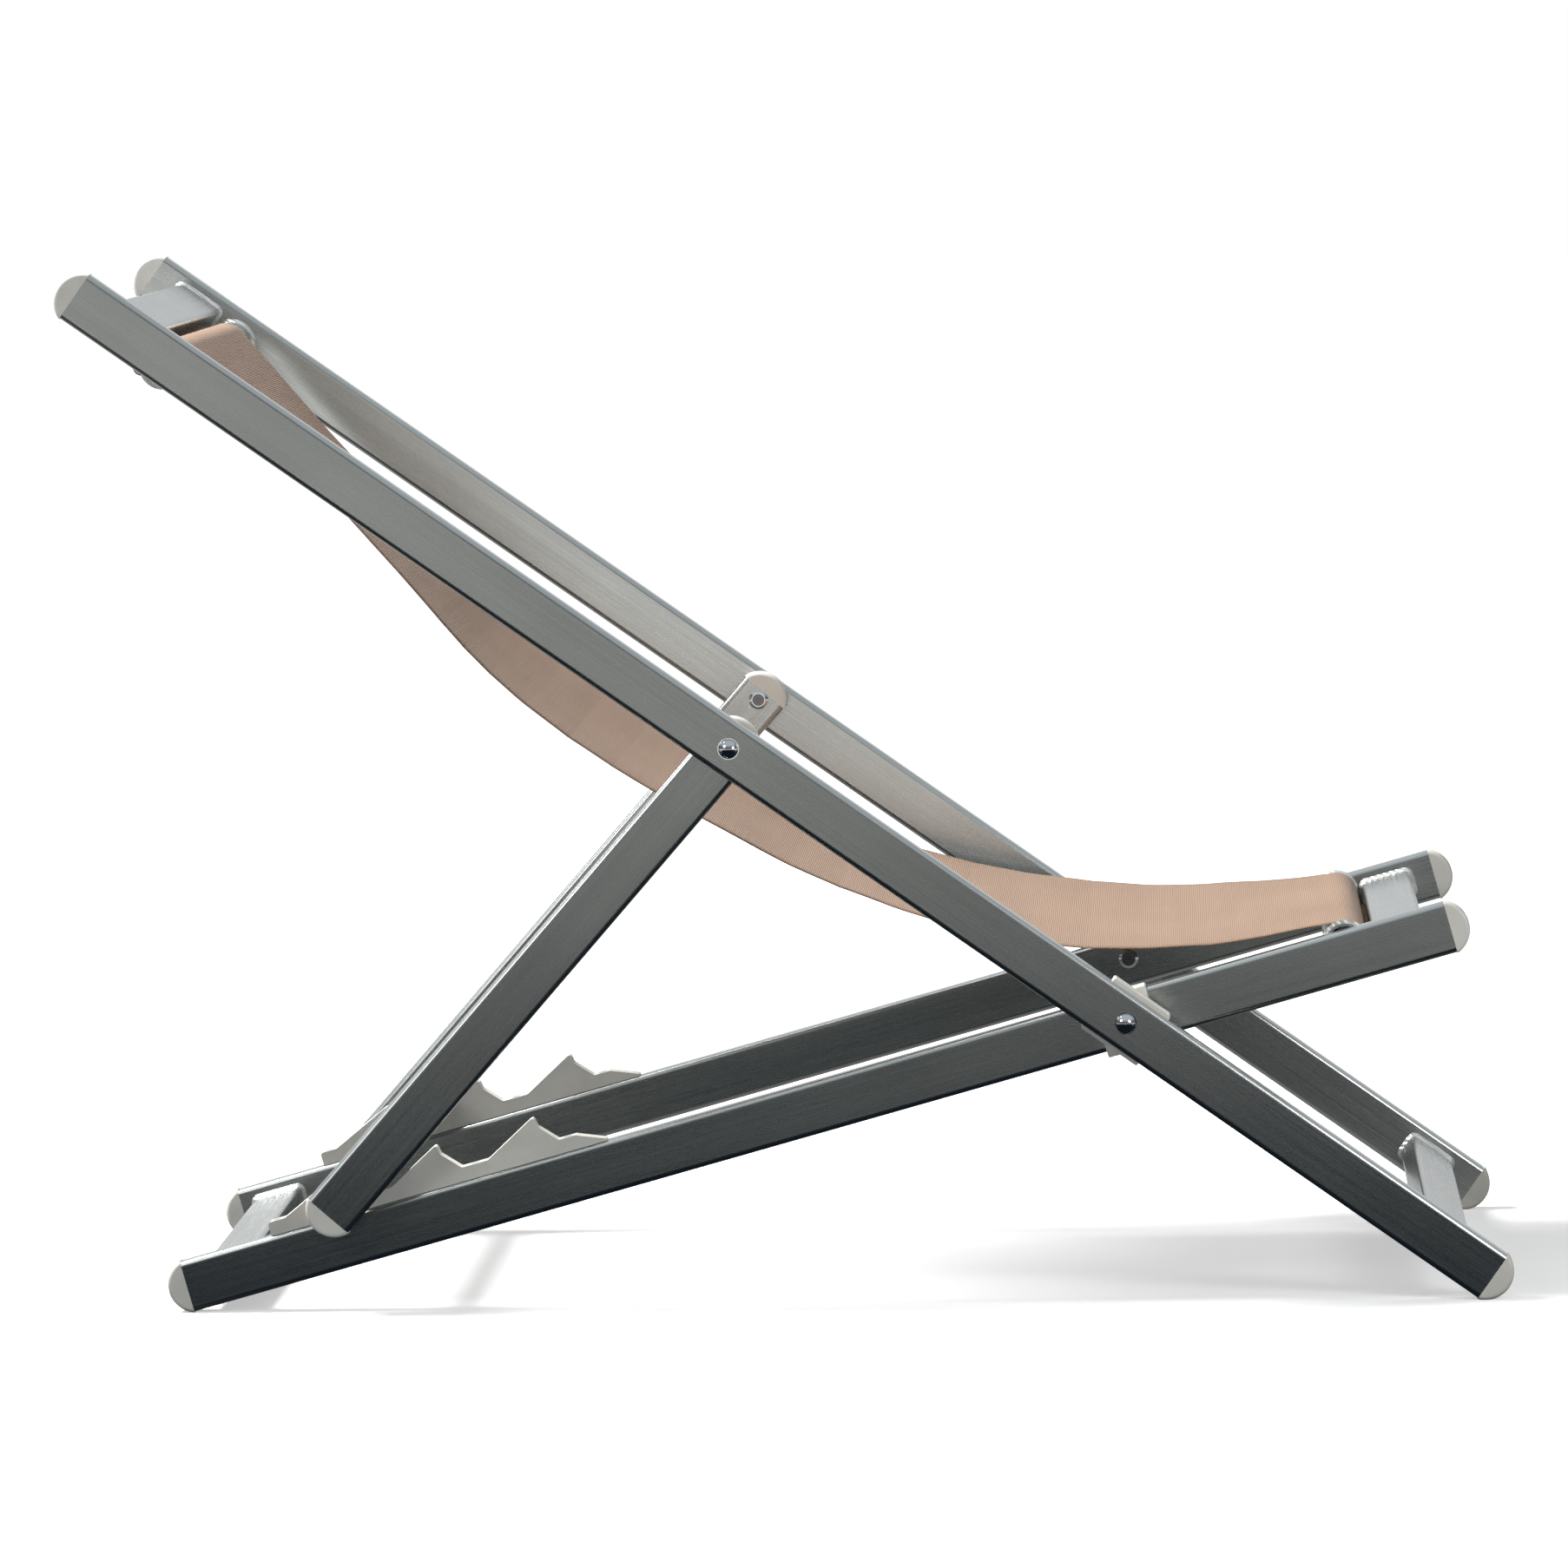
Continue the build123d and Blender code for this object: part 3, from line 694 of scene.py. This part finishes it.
def make_sling(sizes, material):
    """A grid laid along the line from hem to hem, with toothed edges, and its length."""
    places, total = spread(sling_route(sizes), sizes.rows)
    bm = bmesh.new()
    bmesh.ops.create_grid(bm, x_segments=sizes.columns, y_segments=sizes.rows, size=0.5)
    uv = bm.loops.layers.uv.new("cloth")
    bm.verts.ensure_lookup_table()
    laid = {}
    half = sling_width / 2 - sizes.tooth
    for vert in bm.verts:
        share = vert.co.x * 2
        row = round((vert.co.y + 0.5) * sizes.rows)
        point, at = places[row]
        before = places[max(0, row - 1)][0]
        after = places[min(sizes.rows, row + 1)][0]
        run = (after - before).normalized()
        up = Vector((-run.y, run.x))
        belly = (1 - share * share) * sin(pi * at / total) ** 2
        lift = sizes.unevenness * edge_lift(at / total, share) - sizes.hollow * belly
        y = share * half
        if abs(share) > EDGE_SHARE:
            y += sizes.tooth * (1 if share > 0 else -1) * (row % 2)
        laid[vert] = (y, at)
        vert.co = Vector((point.x + up.x * lift, y, point.y + up.y * lift))
    for face in bm.faces:
        for loop in face.loops:
            loop[uv].uv = laid[loop.vert]
    bmesh.ops.recalc_face_normals(bm, faces=bm.faces)
    sling = make_object("ribbed_sling", bm, material)
    solid = sling.modifiers.new("cloth_thickness", "SOLIDIFY")
    solid.thickness = sizes.thickness
    solid.offset = 0.0
    return sling, total


class DECKCHAIR_OT_metal(bpy.types.Operator):
    """Give the rails, legs, bars and tubes their brushed finish along the grain"""

    bl_idname = "deckchair.metal"
    bl_label = "Brushed profile"

    def execute(self, context):
        colours = context.scene.deckchair_colours
        metals = metal_materials(colours)
        paint(pieces("long_rail"), metals["back"])
        paint(pieces("seat_rail"), metals["seat"])
        paint(pieces("prop_leg"), metals["prop"])
        paint(pieces("crossbar", "sling_tube", "hem_rod", "spacer_tubes"), metals["cross"])
        paint(pieces("welds"), bead_material(colours))
        return {"FINISHED"}


class DECKCHAIR_OT_plastic(bpy.types.Operator):
    """Give the caps, racks, saddles and bushes their moulded ivory"""

    bl_idname = "deckchair.plastic"
    bl_label = "Ivory plastic"

    def execute(self, context):
        moulded = pieces("cap_", "rack_left", "rack_right", "saddle", "bush", "spacer_washers")
        paint(moulded, ivory_material(context.scene.deckchair_colours))
        return {"FINISHED"}


class DECKCHAIR_OT_hardware(bpy.types.Operator):
    """Give the nuts, screws and washers their steel"""

    bl_idname = "deckchair.hardware"
    bl_label = "Steel hardware"

    def execute(self, context):
        colours = context.scene.deckchair_colours
        paint(pieces("dome_nut", "dished"), polished_material(colours))
        paint(pieces("screw"), plain_steel_material(colours))
        return {"FINISHED"}


class DECKCHAIR_OT_sling(bpy.types.Operator):
    """Hang the ribbed mesh sling from tube to tube, with its hems round the rods"""

    bl_idname = "deckchair.sling"
    bl_label = "Mesh sling"

    def execute(self, context):
        sizes = context.scene.deckchair_sling
        material = rib_material(context.scene.deckchair_colours, sizes)
        sling, length = make_sling(sizes, material)
        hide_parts("sling")
        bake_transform(sling)
        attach(sling, BACK)
        return {"FINISHED"}


# Each lamp's place, the point it faces, and its width and height
LAMPS = {
    "key": ((-2.0, 0.5, 2.9), (0.05, 0.0, 0.3), (1.2, 1.2)),
    "fill": ((-1.7, -1.9, 1.5), (-0.45, 0.0, 0.65), (0.9, 0.9)),
    "front": ((1.3, -1.3, 0.75), (0.5, -0.2, 0.3), (0.5, 0.5)),
    "back": ((0.0, 5.0, 1.4), (0.0, 0.0, 0.5), (7.0, 2.6)),
    "inner": ((-0.17, -0.215, 0.54), (-0.17, 1.0, 0.54), (1.0, 0.5)),
}
INNER_SPREAD = radians(30)

# The floor glows more with the distance from the chair, until it meets the white background
FLOOR_HALF = 30.0
FLOOR_TONE = (0.93, 0.96)
GLOW_REACH = (0.6, 2.6)
GLOW_STRENGTH = (0.42, 1.0)
BOUNCE_COLOUR = (0.14, 0.15, 0.16, 1.0)

# Painted reflection: the metal mirrors a glowing dark patch of floor before the chair, which stands in
# for shaded ground, and glowing bright floor beyond it; only glossy rays see them
REFLECTED_DARK_MIDDLE = Vector((0.0, -1.7, 0.0))
REFLECTED_DARK_REACH = (1.5, 3.1)
PAINTED_DARK_REFLECTION = (0.008, 0.014, 0.022, 1.0)
PAINTED_BRIGHT_REFLECTION = (1.0, 1.0, 0.96, 1.0)

# The surroundings: a soft sky, which the metal mirrors brighter higher up
SOFT_SKY = (0.92, 0.96, 1.0, 1.0)
MIRRORED_SKY = (0.85, 0.93, 1.0, 1.0)
SKY_RISE = (0.2, 0.6)
HIGH_SKY = 0.75

WHITE = (1.0, 1.0, 1.0, 1.0)
SENSOR_WIDTH = 36.0
# How far the camera sees
SIGHT = 200.0


def lamp(name, place, target, size, power):
    """A soft lamp that faces a point."""
    data = bpy.data.lights.new(name, "AREA")
    data.shape = "RECTANGLE"
    data.size, data.size_y = size
    data.energy = power
    obj = bpy.data.objects.new(name, data)
    bpy.context.scene.collection.objects.link(obj)
    obj.location = place
    aim = Vector(target) - Vector(place)
    obj.rotation_euler = aim.to_track_quat("-Z", "Y").to_euler()
    return obj


class DECKCHAIR_OT_stage(bpy.types.Operator):
    """Set the floor, the lamps, the surroundings and the camera"""

    bl_idname = "deckchair.stage"
    bl_label = "Stage"

    def execute(self, context):
        scene = context.scene
        sizes = scene.deckchair_stage
        bm = bmesh.new()
        bmesh.ops.create_grid(bm, x_segments=1, y_segments=1, size=FLOOR_HALF)
        floor = make_object("floor", bm, self.floor_material())
        self.surroundings(scene, sizes)
        lamps = {
            name: lamp(f"{name}_lamp", *stand, getattr(sizes, f"{name}_power"))
            for name, stand in LAMPS.items()
        }
        lamps["back"].visible_camera = False
        lamps["inner"].visible_camera = False
        lamps["inner"].data.spread = INNER_SPREAD
        self.camera(scene, sizes)
        scene.view_settings.view_transform = "Standard"
        return {"FINISHED"}

    def floor_material(self):
        """White with the chair's shadow to the camera, a painted reflection of dark and bright glowing
        ground to mirrors, grey to the rest.
        """
        material = bpy.data.materials.new("pale_floor")
        material.use_nodes = True
        shader = Shader(material.node_tree)
        place = shader.add("ShaderNodeTexCoord").outputs["Object"]
        tone = shader.vary(shader.noise(place, scale=1.5, detail=2.0), *FLOOR_TONE)
        pale = shader.add("ShaderNodeBsdfDiffuse", Color=shader.grey(tone))
        strength = shader.bounds(shader.length(place), *GLOW_REACH, *GLOW_STRENGTH)
        glow = shader.add("ShaderNodeEmission", Color=WHITE, Strength=strength)
        # Painted reflection: glossy rays see a glowing dark patch before the chair, standing in for
        # shaded ground, and glowing bright floor beyond it
        from_painted_dark = shader.add("ShaderNodeMapping", Vector=place, Location=-REFLECTED_DARK_MIDDLE).outputs[0]
        share = shader.bounds(shader.length(from_painted_dark), *REFLECTED_DARK_REACH, 0.0, 1.0)
        painted_reflection_tone = shader.blend(share, PAINTED_DARK_REFLECTION, PAINTED_BRIGHT_REFLECTION)
        painted_reflection = shader.add("ShaderNodeEmission", Color=painted_reflection_tone, Strength=1.0)
        bounced = shader.add("ShaderNodeBsdfDiffuse", Color=BOUNCE_COLOUR)
        path = shader.add("ShaderNodeLightPath")
        unseen = shader.either(path.outputs["Is Glossy Ray"], bounced, painted_reflection)
        seen = shader.both(pale, glow)
        whole = shader.either(path.outputs["Is Camera Ray"], unseen, seen)
        shader.add("ShaderNodeOutputMaterial", Surface=whole.outputs[0])
        return material

    def surroundings(self, scene, sizes):
        """White to the camera, a soft sky to the chair."""
        world = bpy.data.worlds.new("studio")
        scene.world = world
        world.use_nodes = True
        shader = Shader(world.node_tree)
        soft = shader.add("ShaderNodeBackground", Color=SOFT_SKY, Strength=sizes.sky)
        way = shader.add("ShaderNodeTexCoord").outputs["Generated"]
        height = shader.add("ShaderNodeSeparateXYZ", Vector=way).outputs[2]
        strength = shader.bounds(height, *SKY_RISE, sizes.sky, HIGH_SKY)
        bright = shader.add("ShaderNodeBackground", Color=MIRRORED_SKY, Strength=strength)
        white = shader.add("ShaderNodeBackground", Color=WHITE, Strength=1.0)
        path = shader.add("ShaderNodeLightPath")
        unseen = shader.either(path.outputs["Is Glossy Ray"], soft, bright)
        whole = shader.either(path.outputs["Is Camera Ray"], unseen, white)
        shader.add("ShaderNodeOutputWorld", Surface=whole.outputs[0])

    def camera(self, scene, sizes):
        """The camera fitted to the photograph: its turn is a rotation vector from looking along +Y."""
        turn = Vector(sizes.camera_turn)
        spin = Quaternion(turn.normalized(), radians(turn.length)).to_matrix()
        level = Matrix(((1, 0, 0), (0, 0, -1), (0, 1, 0)))
        right, down, forward = spin @ level
        data = bpy.data.cameras.new("camera")
        data.lens = sizes.lens
        data.sensor_width = SENSOR_WIDTH
        data.clip_end = SIGHT
        obj = bpy.data.objects.new("camera", data)
        scene.collection.objects.link(obj)
        turned = Matrix((right, -down, -forward)).transposed().to_4x4()
        obj.matrix_world = Matrix.Translation(Vector(sizes.camera_place)) @ turned
        scene.camera = obj


class DECKCHAIR_PT_panel(bpy.types.Panel):
    """Lists the chair's finishes and pieces"""

    bl_idname = "DECKCHAIR_PT_panel"
    bl_label = "Deck Chair"
    bl_space_type = "VIEW_3D"
    bl_region_type = "UI"
    bl_category = "Deck Chair"

    def draw(self, context):
        for operator in OPERATORS:
            self.layout.operator(operator.bl_idname)
        for group in GROUPS:
            settings = getattr(context.scene, group)
            for key in settings.bl_rna.properties.keys():
                if key not in ("rna_type", "name"):
                    self.layout.prop(settings, key)


OPERATORS = [
    DECKCHAIR_OT_metal,
    DECKCHAIR_OT_plastic,
    DECKCHAIR_OT_hardware,
    DECKCHAIR_OT_sling,
    DECKCHAIR_OT_stage,
]
GROUPS = {
    "deckchair_sling": SlingSizes,
    "deckchair_colours": FinishColours,
    "deckchair_stage": StageSizes,
}


def register():
    for group, kind in GROUPS.items():
        bpy.utils.register_class(kind)
        setattr(bpy.types.Scene, group, PointerProperty(type=kind))
    for operator in OPERATORS:
        bpy.utils.register_class(operator)
    bpy.utils.register_class(DECKCHAIR_PT_panel)


def unregister():
    bpy.utils.unregister_class(DECKCHAIR_PT_panel)
    for operator in reversed(OPERATORS):
        bpy.utils.unregister_class(operator)
    for group, kind in GROUPS.items():
        delattr(bpy.types.Scene, group)
        bpy.utils.unregister_class(kind)


def main():
    register()
    bpy.ops.deckchair.metal()
    bpy.ops.deckchair.plastic()
    bpy.ops.deckchair.hardware()
    bpy.ops.deckchair.sling()
    bpy.ops.deckchair.stage()


if __name__ == "__main__":
    main()
